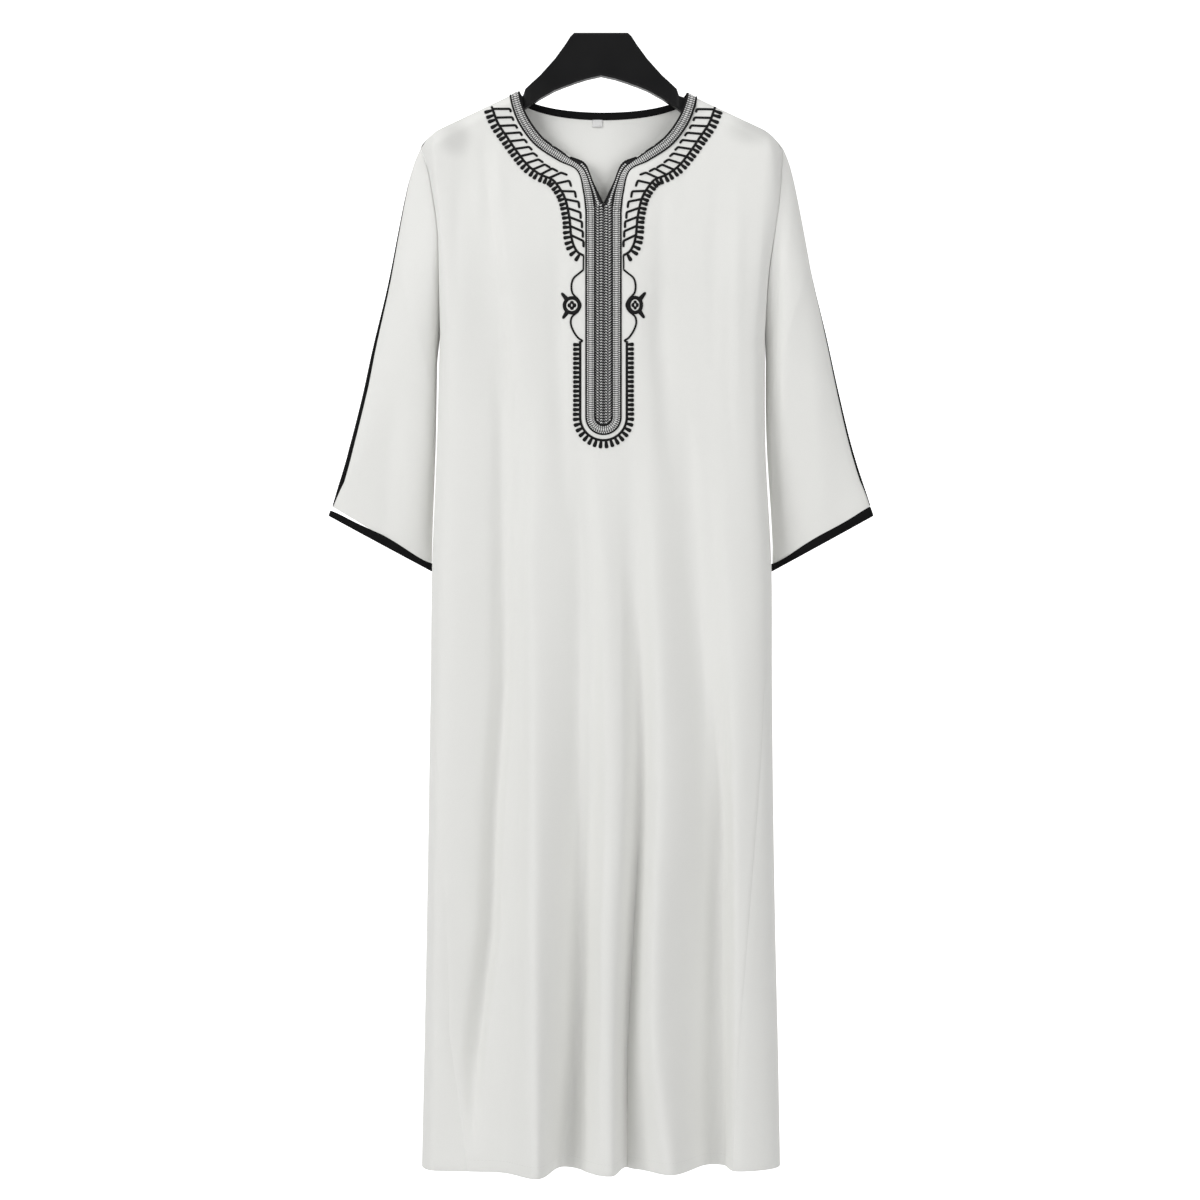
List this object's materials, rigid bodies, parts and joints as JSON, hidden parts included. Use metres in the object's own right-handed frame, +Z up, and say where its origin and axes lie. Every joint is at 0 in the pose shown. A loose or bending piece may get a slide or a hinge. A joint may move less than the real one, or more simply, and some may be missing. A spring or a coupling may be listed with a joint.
{
  "type": "embroidered robe on a hanger",
  "caption": "Long straight robe with three-quarter sleeves, braid-edged slit neck and side gores, hung on a moulded hanger.",
  "frame": {"origin": "middle of the flat top of the hanger, where it is held", "axes": "+Z up, the robe's front faces -Y, +X to the right as seen from the front"},
  "size_m": [0.6812, 0.145, 1.414],
  "materials": {
    "robe_cloth": "matte off-white crepe",
    "black_binding": "matte black woven tape",
    "braid": "grey and black braid",
    "label": "smooth white satin tape",
    "hanger_plastic": "satin black moulded plastic"
  },
  "bodies": {
    "root": {"front_panel": "robe_cloth", "back_panel": "robe_cloth", "left_sleeve": "robe_cloth", "right_sleeve": "robe_cloth", "left_gore": "robe_cloth", "right_gore": "robe_cloth", "left_cuff_binding": "black_binding", "right_cuff_binding": "black_binding", "left_sleeve_piping": "black_binding", "right_sleeve_piping": "black_binding", "back_neck_binding": "black_binding", "neck_braid": "braid", "placket_braid": "braid", "size_label": "label", "hanger": "hanger_plastic"}
  },
  "joints": []
}
